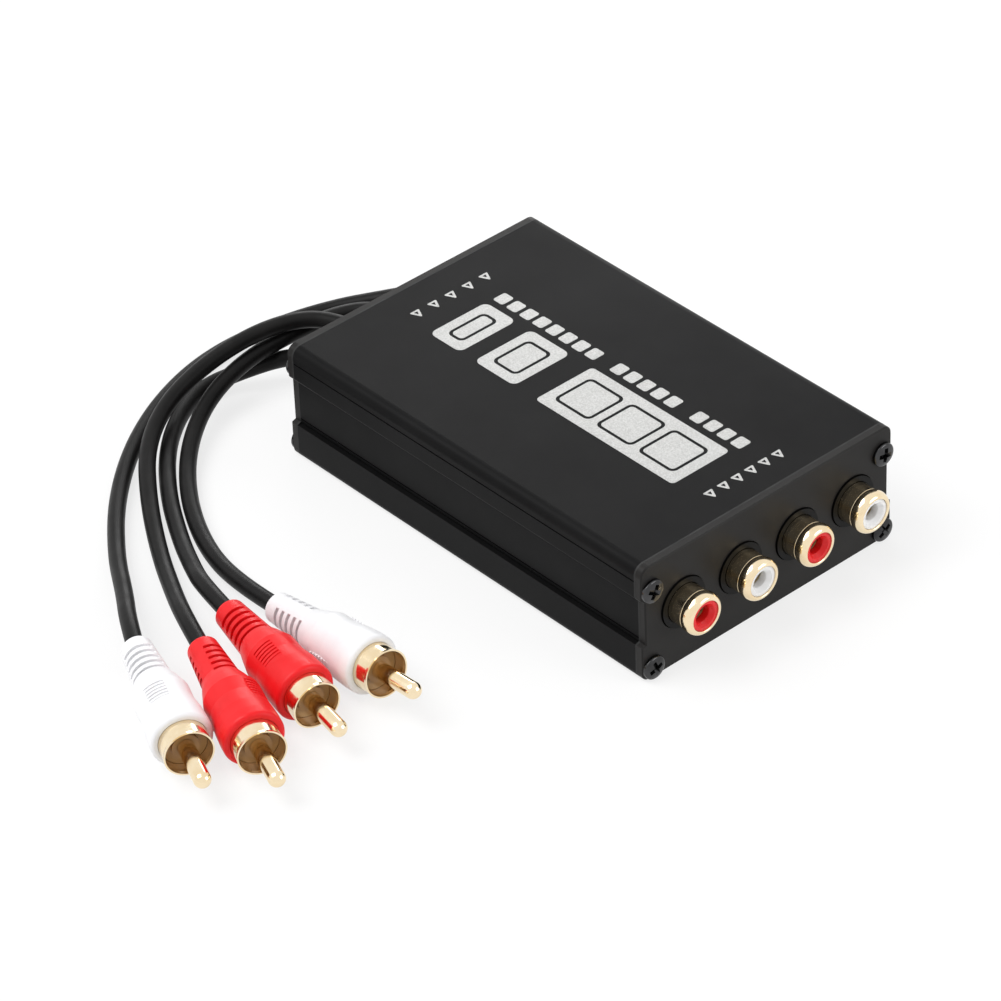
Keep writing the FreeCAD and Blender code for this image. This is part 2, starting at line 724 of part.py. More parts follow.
def make_transformer(number, across, along):
    """One isolating transformer: laminated core, bobbin and winding."""
    leg_half = dim.core_leg
    tube_across = leg_half + dim.bobbin_fit
    tube_along = dim.core_depth * 0.5 + dim.bobbin_fit
    flange_across = leg_half + dim.window_width - dim.bobbin_fit
    flange_along = dim.core_depth * 0.5 + dim.bobbin_reach
    half_window = window_height * 0.5
    half_bobbin = half_window - dim.bobbin_fit
    window_far = leg_half + dim.window_width

    core = new_body(f"transformer_{number}_core")
    plates = new_sketch(core, "XZ_Plane")
    draw_outline(plates, rectangle(-core_width * 0.5, core_width * 0.5,
                                   -core_height * 0.5, core_height * 0.5))
    draw_outline(plates, rectangle(leg_half, window_far, -half_window, half_window))
    draw_outline(plates, rectangle(-window_far, -leg_half, -half_window, half_window))
    extrude(core, plates, dim.core_depth, symmetric=True)

    bobbin = new_body(f"transformer_{number}_bobbin")
    outer_across = tube_across + dim.bobbin_wall
    outer_along = tube_along + dim.bobbin_wall
    tube = new_sketch(bobbin, "XY_Plane")
    draw_outline(tube, rectangle(-outer_across, outer_across, -outer_along, outer_along))
    draw_outline(tube, rectangle(-tube_across, tube_across, -tube_along, tube_along))
    extrude(bobbin, tube, half_bobbin * 2, symmetric=True)
    for height in (-half_bobbin, half_bobbin - dim.bobbin_wall):
        flange = new_sketch(bobbin, "XY_Plane", height)
        draw_outline(flange, rectangle(-flange_across, flange_across,
                                       -flange_along, flange_along))
        draw_outline(flange, rectangle(-tube_across, tube_across, -tube_along, tube_along))
        extrude(bobbin, flange, dim.bobbin_wall)
    rails = new_sketch(bobbin, "XY_Plane", -half_bobbin)
    for near, far in ((flange_along - dim.rail_thickness, flange_along),
                      (-flange_along, dim.rail_thickness - flange_along)):
        draw_outline(rails, rectangle(-flange_across, flange_across, near, far))
    extrude(bobbin, rails, core_middle - half_bobbin - board_top, toward_back=True)

    winding = new_body(f"transformer_{number}_winding")
    wound_across = flange_across - dim.winding_inset
    wound_along = flange_along - dim.winding_inset
    turns = new_sketch(winding, "XY_Plane")
    draw_outline(turns, rounded_rectangle(-wound_across, wound_across, -wound_along,
                                          wound_along, dim.winding_corner))
    draw_outline(turns, rectangle(-outer_across, outer_across, -outer_along, outer_along))
    extrude(winding, turns, (half_bobbin - dim.bobbin_wall) * 2, symmetric=True)

    for piece in (core, bobbin, winding):
        place(piece, across, along, core_middle)
    return [core, bobbin, winding]


def make_barrel(name, across):
    """Gold barrel of a jack, with its lip rolled inward."""
    body = new_body(name)
    lip_back = barrel_front + dim.barrel_lip_depth
    profile = new_sketch(body, "XY_Plane")
    draw_outline(profile, [
        at(barrel_inside, barrel_back),
        at(barrel_inside, lip_back),
        at(dim.barrel_lip_radius, lip_back),
        at(dim.barrel_lip_radius, barrel_front),
        at(dim.barrel_radius - dim.barrel_edge, barrel_front),
        arc_to(dim.barrel_radius, barrel_front + dim.barrel_edge, dim.barrel_edge),
        at(dim.barrel_radius, barrel_shoulder),
        at(dim.barrel_tail_radius, barrel_shoulder),
        at(dim.barrel_tail_radius, barrel_back),
    ])
    revolve(body, profile, "V_Axis")
    place(body, across, 0, dim.jack_height)
    return body


def make_insert(name, across):
    """Coloured insert of a jack, with the hole that a plug's pin enters."""
    nose = barrel_front + dim.nose_setback
    shoulder = barrel_front + dim.barrel_lip_depth + dim.barrel_fit
    nose_radius = dim.barrel_lip_radius - dim.barrel_fit
    contact_room = dim.socket_radius + dim.contact_wall + dim.barrel_fit
    body = new_body(name)
    profile = new_sketch(body, "XY_Plane")
    draw_outline(profile, [
        at(contact_room, barrel_back),
        at(contact_room, nose + dim.nose_depth),
        at(dim.socket_radius, nose + dim.nose_depth),
        at(dim.socket_radius, nose + dim.socket_mouth_depth),
        at(dim.socket_mouth_radius, nose),
        at(nose_radius, nose),
        at(nose_radius, shoulder),
        at(barrel_inside - dim.barrel_fit, shoulder),
        at(barrel_inside - dim.barrel_fit, barrel_back),
    ])
    revolve(body, profile, "V_Axis")
    place(body, across, 0, dim.jack_height)
    return body


def make_contact(name, across):
    """Centre contact of a jack: a tube, its stem and the tail that stands on the board."""
    front = barrel_front + dim.nose_setback + dim.nose_depth
    back = front + dim.contact_length
    outside = dim.socket_radius + dim.contact_wall
    tail_face = dim.housing_depth - panel_back
    stem_end = tail_face + dim.tail_thickness
    body = new_body(name)
    profile = new_sketch(body, "XY_Plane")
    hole_end = back - dim.contact_back
    draw_outline(profile, [
        at(0, hole_end),
        at(dim.relief_radius, hole_end),
        at(dim.relief_radius, hole_end - dim.relief_depth),
        at(dim.socket_radius, hole_end - dim.relief_depth),
        at(dim.socket_radius, front),
        at(outside, front),
        at(outside, back),
        at(dim.stem_radius, back),
        at(dim.stem_radius, stem_end),
        at(0, stem_end),
    ])
    revolve(body, profile, "V_Axis")
    tail = new_sketch(body, "XZ_Plane", -stem_end)
    half_tail = dim.tail_width * 0.5
    draw_outline(tail, rectangle(-half_tail, half_tail, board_top - dim.jack_height, 0))
    extrude(body, tail, dim.tail_thickness)
    place(body, across, 0, dim.jack_height)
    return body


def make_housing(name, across):
    """Black jack housing that stands on the board, with its collar in the panel."""
    back = dim.housing_depth - panel_back
    half_housing = dim.housing_width * 0.5
    low = board_top - dim.jack_height
    body = new_body(name)
    block = new_sketch(body, "XY_Plane", low)
    draw_outline(block, rounded_rectangle(-half_housing, half_housing, -panel_back, back,
                                          dim.housing_corner))
    extrude(body, block, dim.housing_height)
    collar = new_sketch(body, "XZ_Plane", panel_back - dim.housing_corner)
    draw_circles(collar, [(as_size(0), as_size(0), collar_radius)])
    reach = dim.panel_thickness + dim.collar_proud + dim.housing_corner
    extrude(body, collar, reach)
    room = new_sketch(body, "XY_Plane")
    stem_hole = dim.stem_radius + dim.barrel_fit
    draw_outline(room, [
        at(0, barrel_front),
        at(housing_bore, barrel_front),
        at(housing_bore, barrel_back),
        at(stem_hole, barrel_back),
        at(stem_hole, back + dim.housing_corner),
        at(0, back + dim.housing_corner),
    ])
    revolve(body, room, "V_Axis", "PartDesign::Groove")
    place(body, across, 0, dim.jack_height)
    return body


def unit(start, end):
    """Direction from one point of a route to another."""
    return (Vector(*end) - Vector(*start)).normalize()


def make_boot(number, route):
    """Boot of one cord: it grips the panel's edge, and its tail leans with the cord."""
    across = centres(LEAD_COUNT, dim.exit_pitch)[EXIT_OF_LEAD[number - 1]]
    name = f"cord_{number}_boot"
    grip = new_body(name + "_grip")
    profile = new_sketch(grip, "XY_Plane")
    inside = -dim.panel_thickness
    draw_outline(profile, [
        at(0, inside - dim.boot_inner_thickness),
        at(dim.boot_inner_radius, inside - dim.boot_inner_thickness),
        at(dim.boot_inner_radius, inside),
        at(dim.boot_neck_radius, inside),
        at(dim.boot_neck_radius, 0),
        at(dim.boot_outer_radius, 0),
        at(dim.boot_outer_radius, dim.boot_outer_thickness * 0.5),
        at(dim.boot_outer_radius - dim.boot_outer_thickness * 0.5, dim.boot_outer_thickness),
        at(0, dim.boot_outer_thickness),
    ])
    revolve(grip, profile, "V_Axis")
    place(grip, across, half_length, dim.exit_height)

    tail = new_body(name + "_tail")
    shape = new_sketch(tail, "XZ_Plane")
    rib_middle = dim.boot_tail_length * 0.5
    rib_half = dim.boot_rib_width * 0.5
    draw_outline(shape, [
        at(0, -dim.boot_tail_length - dim.boot_neck_radius),
        arc_to(dim.boot_neck_radius, -dim.boot_tail_length, dim.boot_neck_radius),
        at(dim.boot_tail_radius, -rib_middle - rib_half),
        at(dim.boot_rib_radius, -rib_middle - rib_half),
        at(dim.boot_rib_radius, rib_half - rib_middle),
        at(dim.boot_tail_radius, rib_half - rib_middle),
        at(dim.boot_tail_radius, 0),
        at(0, 0),
    ])
    revolve(tail, shape, "V_Axis")
    lean = Rotation(Vector(0, 0, 1), unit(route[0], route[1]))
    place(tail, *route[0], lean)

    boot = doc.addObject("Part::MultiFuse", name)
    boot.Shapes = [grip, tail]
    boot.Label = name
    return boot


def route_path(points):
    """Straight runs joined by tangent arcs, each as large as its two runs allow."""
    spots = [Vector(*point) for point in points]
    edges = []
    radii = []
    start = spots[0]
    for before, corner, after in zip(spots, spots[1:], spots[2:]):
        arriving = corner - before
        leaving = after - corner
        half_turn = arriving.getAngle(leaving) / 2
        trim = ARC_SHARE * min(arriving.Length, leaving.Length)
        radius = trim / math.tan(half_turn)
        first = corner - arriving.normalize() * trim
        last = corner + leaving.normalize() * trim
        inward = (last - corner).normalize() + (first - corner).normalize()
        distance = radius / math.cos(half_turn) - radius
        middle = corner + inward.normalize() * distance
        edges.append(Part.LineSegment(start, first).toShape())
        edges.append(Part.Arc(first, middle, last).toShape())
        radii.append(radius)
        start = last
    edges.append(Part.LineSegment(start, spots[-1]).toShape())
    return Part.Wire(edges), radii


def make_cord(number, route):
    """One cord as a tube along its route."""
    path, radii = route_path(route)
    ring = Part.makeCircle(cord_radius.number, Vector(*route[0]), unit(route[0], route[1]))
    tube = path.makePipeShell([Part.Wire([ring])], True, False)
    expected = math.pi * cord_radius.number ** 2 * path.Length
    print(f"cord_{number}: length {path.Length:.1f}, volume {tube.Volume:.1f} of "
          f"{expected:.1f}, radii " + " ".join(f"{radius:.1f}" for radius in radii))
    if abs(tube.Volume - expected) > VOLUME_SHARE * expected:
        raise ValueError(f"cord_{number} has the wrong volume")
    cord = doc.addObject("Part::Feature", f"cord_{number}")
    cord.Shape = tube
    cord.Label = f"cord_{number}"
    return cord


def plug_turn(number, route):
    """How a plug is turned: its axis goes on from the cord's last run."""
    heading = unit(route[-2], route[-1])
    turn = math.degrees(math.atan2(heading.y, heading.x))
    tilt = math.degrees(math.asin(heading.z))
    return (Rotation(Vector(0, 0, 1), turn) * Rotation(Vector(0, 1, 0), -tilt)
            * Rotation(Vector(1, 0, 0), PLUG_ROLLS[number - 1]))


def draw_pad_trim(sketch):
    """What is cut from the pads' block: all outside the ribs' crests and grooves."""
    crest = dim.plug_waist + dim.pad_proud
    valley = crest - dim.pad_rib_depth
    rear_end = dim.pad_middle - dim.pad_half_length
    front_end = dim.pad_middle + dim.pad_half_length
    outside = crest + dim.pad_half_width
    corners = [at(front_end, outside), at(rear_end, outside), at(rear_end, crest)]
    first_rib = dim.pad_middle - dim.pad_rib_pitch * (RIB_COUNT - 1) * 0.5
    for index in range(RIB_COUNT - 1):
        middle = first_rib + dim.pad_rib_pitch * (index + 0.5)
        half_gap = (dim.pad_rib_pitch - dim.pad_rib_width) * 0.5
        corners += [at(middle - half_gap, crest), at(middle - half_gap, valley),
                    at(middle + half_gap, valley), at(middle + half_gap, crest)]
    corners.append(at(front_end, crest))
    draw_outline(sketch, corners)


def make_plug_body(number, place_plug):
    """Moulded plug body: slotted strain relief, waisted grip and two ribbed pads."""
    body = new_body(f"plug_{number}_body")
    pads = new_sketch(body, "XY_Plane")
    draw_outline(pads, rounded_rectangle(
        dim.pad_middle - dim.pad_half_length, dim.pad_middle + dim.pad_half_length,
        -dim.pad_half_width, dim.pad_half_width, dim.pad_corner))
    extrude(body, pads, dim.plug_collar * 2, symmetric=True)
    trim = new_sketch(body, "XY_Plane")
    draw_pad_trim(trim)
    revolve(body, trim, "H_Axis", "PartDesign::Groove")

    seat = dim.plug_length - dim.ring_seat
    ring_room = dim.ring_radius + dim.ring_fit
    profile = new_sketch(body, "XY_Plane")
    draw_outline(profile, [
        at(0, 0),
        at(0, dim.plug_rear_radius),
        arc_to(dim.plug_edge, dim.plug_sleeve_start, dim.plug_edge, -1),
        at(dim.plug_sleeve_length, dim.plug_sleeve_end),
        at(dim.plug_shoulder_place, dim.plug_shoulder),
        at(dim.plug_swell_place, dim.plug_swell),
        at(dim.plug_waist_place, dim.plug_waist),
        at(dim.plug_flare_place, dim.plug_flare),
        at(dim.plug_collar_place, dim.plug_collar),
        at(dim.plug_length - dim.plug_edge, dim.plug_collar),
        arc_to(dim.plug_length, dim.plug_collar - dim.plug_edge, dim.plug_edge, -1),
        at(dim.plug_length, ring_room),
        at(seat, ring_room),
        at(seat, 0),
    ])
    revolve(body, profile, "H_Axis")

    slots = new_sketch(body, "XZ_Plane")
    beyond = dim.plug_collar
    for index in range(SLOT_COUNT):
        middle = dim.slot_first + dim.slot_pitch * index
        for place_along, low, high in ((middle, -beyond, -dim.slot_floor),
                                       (middle + dim.slot_stagger, dim.slot_floor, beyond)):
            near = place_along - dim.slot_width * 0.5
            far = place_along + dim.slot_width * 0.5
            draw_outline(slots, rectangle(near, far, low, high))
    cut_through(body, slots)
    place_plug(body)
    return body


def make_plug_ring(number, place_plug):
    """Outer contact of a plug: a thin ring with a flared lip."""
    root = dim.plug_length - dim.ring_seat
    lip = dim.plug_length + dim.ring_reach
    body = new_body(f"plug_{number}_ring")
    profile = new_sketch(body, "XY_Plane")
    draw_outline(profile, [
        at(root, ring_inside),
        at(lip - dim.ring_wall * 2, ring_inside),
        at(lip, ring_inside + dim.ring_flare),
        at(lip, dim.ring_radius + dim.ring_flare),
        at(lip - dim.ring_wall * 2, dim.ring_radius),
        at(root, dim.ring_radius),
    ])
    revolve(body, profile, "H_Axis")
    place_plug(body)
    return body


def make_plug_insulator(number, place_plug):
    """Insulator between a plug's ring and its pin."""
    root = dim.plug_length - dim.ring_seat
    face = dim.plug_length + dim.insulator_reach
    bore = dim.pin_root_radius + dim.ring_fit
    body = new_body(f"plug_{number}_insulator")
    profile = new_sketch(body, "XY_Plane")
    draw_outline(profile, [
        at(root, bore),
        at(face + dim.insulator_hub_length, bore),
        at(face + dim.insulator_hub_length, dim.insulator_hub_radius),
        at(face, dim.insulator_hub_radius),
        at(face, ring_inside - dim.ring_fit),
        at(root, ring_inside - dim.ring_fit),
    ])
    revolve(body, profile, "H_Axis")
    place_plug(body)
    return body


def make_plug_pin(number, place_plug):
    """Centre pin of a plug, with a round tip."""
    root = dim.plug_length - dim.ring_seat
    hub_face = dim.plug_length + dim.insulator_reach + dim.insulator_hub_length
    shoulder = hub_face + dim.pin_shoulder_gap
    body = new_body(f"plug_{number}_pin")
    profile = new_sketch(body, "XY_Plane")
    draw_outline(profile, [
        at(root, 0),
        at(root, dim.pin_root_radius),
        at(shoulder, dim.pin_root_radius),
        at(shoulder, dim.pin_radius),
        at(dim.pin_end - dim.pin_radius, dim.pin_radius),
        arc_to(dim.pin_end, 0, dim.pin_radius, -1),
    ])
    revolve(body, profile, "H_Axis")
    place_plug(body)
    return body


def make_lead(number, route):
    """One lead: boot, cord and plug."""
    rotation = plug_turn(number, route)

    def place_plug(piece):
        place(piece, *route[-1], rotation)

    return [
        make_boot(number, route),
        make_cord(number, route),
        make_plug_body(number, place_plug),
        make_plug_ring(number, place_plug),
        make_plug_pin(number, place_plug),
        make_plug_insulator(number, place_plug),
    ]


def make_jack(number, across):
    """One jack: barrel, insert, contact and housing."""
    return [
        make_barrel(f"jack_{number}_shell", across),
        make_insert(f"jack_{number}_insert", across),
        make_contact(f"jack_{number}_contact", across),
        make_housing(f"jack_{number}_housing", across),
    ]


def make_all():
    """Every sub-part of the isolator."""
    pieces = [
        make_top_shell(),
        make_bottom_shell(),
        make_front_panel(),
        make_rear_panel(),
        make_panel_screws(),
        make_circuit_board(),
    ]
    number = 0
    for along in (-dim.transformer_along, dim.transformer_along):
        for across in (-transformer_side, transformer_side):
            number += 1
            pieces += make_transformer(number, across, along)
    for number, across in enumerate(centres(JACK_COUNT, jack_pitch), start=1):
        pieces += make_jack(number, across)
    for number, route in enumerate(ROUTES, start=1):
        pieces += make_lead(number, route)
    return pieces


def check(pieces):
    """Stop on a failed object or an empty or broken shape."""
    for item in doc.Objects:
        if "Invalid" in item.State or "Error" in item.State:
            raise RuntimeError(f"{item.Label} failed: {item.State}")
    for piece in pieces:
        if piece.Shape.isNull() or not piece.Shape.isValid() or not piece.Shape.Solids:
            raise RuntimeError(f"{piece.Label} has no sound shape")


def export(pieces):
    """Write one STEP file for each sub-part."""
    os.makedirs("parts", exist_ok=True)
    for piece in pieces:
        piece.Shape.exportStep(os.path.join("parts", piece.Label + ".step"))


sub_parts = make_all()
doc.recompute()
check(sub_parts)
export(sub_parts)
print(f"{len(sub_parts)} sub-parts written")
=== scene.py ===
import math

import bmesh
import bpy
from mathutils import Matrix, Vector


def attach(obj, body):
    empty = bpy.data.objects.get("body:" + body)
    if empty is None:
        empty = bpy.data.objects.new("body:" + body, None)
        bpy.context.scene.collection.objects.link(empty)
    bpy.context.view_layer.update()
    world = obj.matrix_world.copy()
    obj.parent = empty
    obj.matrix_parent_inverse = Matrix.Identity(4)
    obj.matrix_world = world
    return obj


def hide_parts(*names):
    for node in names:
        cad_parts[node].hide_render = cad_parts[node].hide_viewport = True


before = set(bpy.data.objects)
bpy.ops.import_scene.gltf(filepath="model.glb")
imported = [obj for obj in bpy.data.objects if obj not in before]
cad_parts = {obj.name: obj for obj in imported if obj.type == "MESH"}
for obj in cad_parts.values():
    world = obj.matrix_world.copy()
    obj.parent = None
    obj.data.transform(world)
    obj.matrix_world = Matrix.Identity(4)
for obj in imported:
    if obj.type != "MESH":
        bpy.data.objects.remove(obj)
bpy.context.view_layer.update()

MM = 0.001

# Camera, fitted to the photograph: angles in degrees, lens and sensor in millimetres,
# the rest in metres
CAMERA_AZIMUTH = -40.617
CAMERA_ELEVATION = 36.956
CAMERA_ROLL = -2.383
CAMERA_DISTANCE = 0.97257
CAMERA_TARGET = (-0.012777, 0.009656, 0.0)
CAMERA_LENS = 192.28
SENSOR_WIDTH = 36.0
CAMERA_NEAR = 0.01
CAMERA_FAR = 20

# Surroundings and floor: what they give to the object and what the camera sees of them
WORLD_LIGHT = 0.58
WORLD_SEEN = 1.0
FLOOR_GLOW = 0.75
FLOOR_HALF_SIDE = 3.0
FLOOR_LEVEL = -0.00002

# Lamps: name, place, aim, width and height in metres, power in watts, shown to the camera
LAMPS = [
    ("key", (-0.5, 0.35, 0.9), (0, 0, 0), (0.7, 0.7), 8, True),
    ("front_fill", (0.5, -0.9, 0.5), (0, 0, 0), (0.6, 0.6), 4, True),
    ("rear_sheen", (0.27, 0.33, 0.17), (0.03, 0.05, 0.02), (0.25, 0.12), 0.45, False),
]

# The four channels, and which of their plugs and jacks are red; the others are white
CHANNELS = range(1, 5)
MIDDLE_CHANNEL = 2.5
RED_PLUGS = (2, 3)
RED_JACKS = (1, 3)

# The leads' cords, channel by channel, in metres
CORD_DIAMETER = 0.00325
CORD_ROUTES = [
    [(0.0144, 0.0538, 0.0105), (0.0135, 0.06, 0.0086), (0.0091, 0.0663, 0.0061),
     (0.0018, 0.073, 0.0042), (-0.0088, 0.0784, 0.0024), (-0.0227, 0.0801, 0.0017),
     (-0.0373, 0.0762, 0.0017), (-0.0518, 0.068, 0.0017), (-0.0646, 0.0567, 0.0017),
     (-0.0753, 0.0432, 0.0023), (-0.0822, 0.032, 0.004), (-0.088, 0.0236, 0.00565),
     (-0.0916, 0.017, 0.00565)],
    [(-0.0064, 0.0538, 0.0121), (-0.0083, 0.06, 0.0127), (-0.013, 0.0651, 0.0129),
     (-0.0212, 0.0686, 0.0118), (-0.0316, 0.0703, 0.0092), (-0.0421, 0.0693, 0.0062),
     (-0.0516, 0.0637, 0.004), (-0.0605, 0.0523, 0.0024), (-0.0686, 0.0392, 0.0017),
     (-0.0752, 0.027, 0.0033), (-0.0802, 0.0174, 0.00565), (-0.0834, 0.0088, 0.00565)],
    [(-0.015, 0.0537, 0.0105), (-0.0151, 0.0601, 0.0079), (-0.0171, 0.0663, 0.0052),
     (-0.0227, 0.0704, 0.0032), (-0.0306, 0.0732, 0.0018), (-0.0395, 0.0694, 0.0017),
     (-0.0482, 0.0622, 0.0017), (-0.0566, 0.0514, 0.0017), (-0.0634, 0.0396, 0.0019),
     (-0.0684, 0.0298, 0.0036), (-0.0719, 0.0225, 0.00565), (-0.0736, 0.0134, 0.00565)],
    [(0.0032, 0.0537, 0.0116), (0.001, 0.0596, 0.011), (-0.0044, 0.064, 0.0103),
     (-0.0129, 0.0664, 0.0093), (-0.024, 0.0677, 0.0078), (-0.035, 0.0662, 0.0049),
     (-0.0456, 0.0593, 0.0024), (-0.0551, 0.0475, 0.0017), (-0.0618, 0.034, 0.0017),
     (-0.0645, 0.0218, 0.0024), (-0.0649, 0.0108, 0.00355)],
]
CORD_STEPS = 24
CORD_ROUND_STEPS = 10

# From here on lengths are in millimetres, as in the CAD, and turns and creases in degrees,
# unless a comment says otherwise. First the case's sizes and its stepped side, upward
HALF_WIDTH = 30.5
HALF_LENGTH = 47.0
CASE_HEIGHT = 24.6
PANEL_THICKNESS = 1.6
BOTTOM_CORNER = 1.7
TOP_CORNER = 2.0
SIDE_RECESS = 0.88
SEAM_TOP = 7.6
RECESS_LOW = 7.9
RECESS_HIGH = 16.8
STEP_TOP = 18.1
STEP_EASE_ACROSS = 0.1
STEP_EASE_UP = 0.35
BOTTOM_STEPS = 8
TOP_STEPS = 10

# The dark line round each panel: half its width, how far it is sunk and how far it is raised
SEAM_HALF_WIDTH = 0.19
SEAM_SUNK = 0.02
SEAM_PROUD = 0.012
SEAM_CREASE = 35

# The jacks' barrels, measured forward of the case's middle: a tube, the bead rolled round
# its front edge, and the small rounded lip inside that bead
JACK_PITCH = 13.8
JACK_HEIGHT = 12.7
BARREL_FRONT = 52.9
BARREL_BACK = 41.0
BARREL_RADIUS = 4.15
TUBE_RADIUS = 3.9
TUBE_INSIDE = 3.65
BEAD_LENGTH = 1.5
BEAD_HEIGHT = 0.95
BEAD_TURNS = range(135, -1, -7)
BEAD_FOOT = 0.05
LIP_ROUNDING = 0.2
LIP_STEPS = 5
LIP_DEPTH = 1.0
BARREL_STEPS = 96
BARREL_CREASE = 20

# The panel screws: their places as (across, up) and their turns, then one screw's
# (along, radius) points, the edge of its head, its crown, and its cross recess as
# (height, half length, half width) at the floor and above the crown
SCREW_PLACES = [(-28.1, 2.45), (-28.1, 19.2), (28.1, 2.45), (28.1, 19.2)]
SCREW_TURNS = [18, 62, 35, 80, 51, 8, 71, 29]
SHANK_AND_FOOT = [(-8.0, 0), (-8.0, 0.65), (-7.65, 1.0), (0, 1.0), (0, 2.3), (0.05, 2.35)]
HEAD_EDGE_HEIGHT = 0.4
HEAD_EDGE_RADIUS = 1.95
HEAD_ROUNDING = 0.4
HEAD_EDGE_FROM = 90
HEAD_EDGE_TO = 25
HEAD_EDGE_STEPS = 8
CROWN_HEIGHT = 1.02
CROWN_FALL = 0.055
CROWN_RADII = (1.9, 1.45, 0.95, 0.5)
CROSS_LOOPS = ((0.2, 0.95, 0.24), (1.3, 1.8, 0.56))
SCREW_STEPS = 64
SCREW_CREASE = 28

# The print on the top face. Fields: left, right, low and high edge and corner radius
PRINT_FIELDS = [(-9.5, 4.4, -32.8, 2.8, 0.9), (-9.4, 4.4, 8.6, 19.3, 1.4),
                (-9.4, 4.4, 23.2, 31.5, 1.4)]
# Lines left open in the fields: where each lies along the case, and its outer and inner
# loop as left and right edge, inset along the case and corner radius
GROOVE_SPANS = [(-30.4, -21.1), (-19.5, -10.2), (-8.6, 0.7), (10.7, 17.2), (25.3, 29.4)]
GROOVE_LOOPS = [(-7.2, 2.1, 0, 1.3), (-6.55, 1.45, 0.65, 0.8)]
# Groups of small squares in one row along the case
SQUARE_GROUPS = (4, 5, 8)
SQUARES_LEFT = 6.0
SQUARES_RIGHT = 9.0
SQUARES_START = -33.6
SQUARE_LENGTH = 2.6
SQUARE_ROUNDING = 0.5
SQUARE_PITCH = 3.5
GROUP_GAP = 3.2
# Rows of open triangles across the case: count, first, pitch and place along the case, and
# the outer and inner loop as half width, base, tip and corner radius
TRIANGLE_ROWS = [(5, -6.8, 4.2, 37.5), (6, -6.6, 3.3, -39.7)]
TRIANGLE_LOOPS = [(1.15, 1.2, -1.2, 0.25), (0.45, 0.8, -0.15, 0.1)]
CORNER_STEPS = 6
TIP_STEPS = 5
# Half the film's thickness and the height of its middle over the top face, in metres
PRINT_HALF_THICKNESS = 0.000012
PRINT_LIFT = 0.000014

# The levels of a noise between which colours and gloss run from one end to the other
COLOUR_SPAN = (0.35, 0.65)
GLOSS_SPAN = (0.3, 0.7)
NOISE_ROUGHNESS = 0.55
# How far red, green and blue light spread under a plastic's surface, in metres
EVEN_SPREAD = (0.001, 0.001, 0.001)
WARM_SPREAD = (0.0012, 0.0008, 0.0007)


# Materials

def new_material(name):
    """A new material, its nodes and its shader."""
    material = bpy.data.materials.new(name)
    material.use_nodes = True
    shader = material.node_tree.nodes["Principled BSDF"]
    return material, material.node_tree, shader


def object_noise(tree, scale, detail, stretch=(1, 1, 1)):
    """Noise laid over the object in metres, stretched along an axis where asked."""
    coordinates = tree.nodes.new("ShaderNodeTexCoord")
    mapping = tree.nodes.new("ShaderNodeMapping")
    mapping.inputs["Scale"].default_value = stretch
    noise = tree.nodes.new("ShaderNodeTexNoise")
    noise.inputs["Scale"].default_value = scale
    noise.inputs["Detail"].default_value = detail
    noise.inputs["Roughness"].default_value = NOISE_ROUGHNESS
    tree.links.new(coordinates.outputs["Object"], mapping.inputs["Vector"])
    tree.links.new(mapping.outputs["Vector"], noise.inputs["Vector"])
    return noise


def set_colour(tree, shader, noise, low, high):
    """Colour the surface from low to high by a noise."""
    ramp = tree.nodes.new("ShaderNodeValToRGB")
    for index, colour in enumerate((low, high)):
        ramp.color_ramp.elements[index].position = COLOUR_SPAN[index]
        ramp.color_ramp.elements[index].color = (*colour, 1)
    tree.links.new(noise.outputs["Fac"], ramp.inputs["Fac"])
    tree.links.new(ramp.outputs["Color"], shader.inputs["Base Color"])


def set_roughness(tree, shader, noise, low, high):
    """Let the surface's roughness run from low to high by a noise."""
    levels = tree.nodes.new("ShaderNodeMapRange")
    levels.inputs["From Min"].default_value = GLOSS_SPAN[0]
    levels.inputs["From Max"].default_value = GLOSS_SPAN[1]
    levels.inputs["To Min"].default_value = low
    levels.inputs["To Max"].default_value = high
    tree.links.new(noise.outputs["Fac"], levels.inputs["Value"])
    tree.links.new(levels.outputs["Result"], shader.inputs["Roughness"])


def add_bump(tree, shader, noise, distance, strength):
    """Raise the surface by a noise, distance in metres."""
    bump = tree.nodes.new("ShaderNodeBump")
    bump.inputs["Distance"].default_value = distance
    bump.inputs["Strength"].default_value = strength
    tree.links.new(noise.outputs["Fac"], bump.inputs["Height"])
    tree.links.new(bump.outputs["Normal"], shader.inputs["Normal"])


def anodised_material(name, dark, pale, roughness, reflection):
    """Satin black anodised aluminium: a fine blasted grain with faint cloudiness."""
    material, tree, shader = new_material(name)
    set_colour(tree, shader, object_noise(tree, scale=60, detail=3), dark, pale)
    smudge = object_noise(tree, scale=35, detail=5)
    set_roughness(tree, shader, smudge, roughness - 0.05, roughness + 0.06)
    grain = object_noise(tree, scale=5200, detail=2)
    add_bump(tree, shader, grain, distance=0.000012, strength=0.6)
    shader.inputs["Specular IOR Level"].default_value = reflection
    return material


def print_material(name):
    """Silver screen print, lightly speckled."""
    material, tree, shader = new_material(name)
    speckle = object_noise(tree, scale=3800, detail=2)
    set_colour(tree, shader, speckle, (0.42, 0.42, 0.41), (0.57, 0.57, 0.56))
    cloud = object_noise(tree, scale=220, detail=3)
    set_roughness(tree, shader, cloud, low=0.42, high=0.58)
    add_bump(tree, shader, speckle, distance=0.000008, strength=0.5)
    shader.inputs["Metallic"].default_value = 0.15
    return material


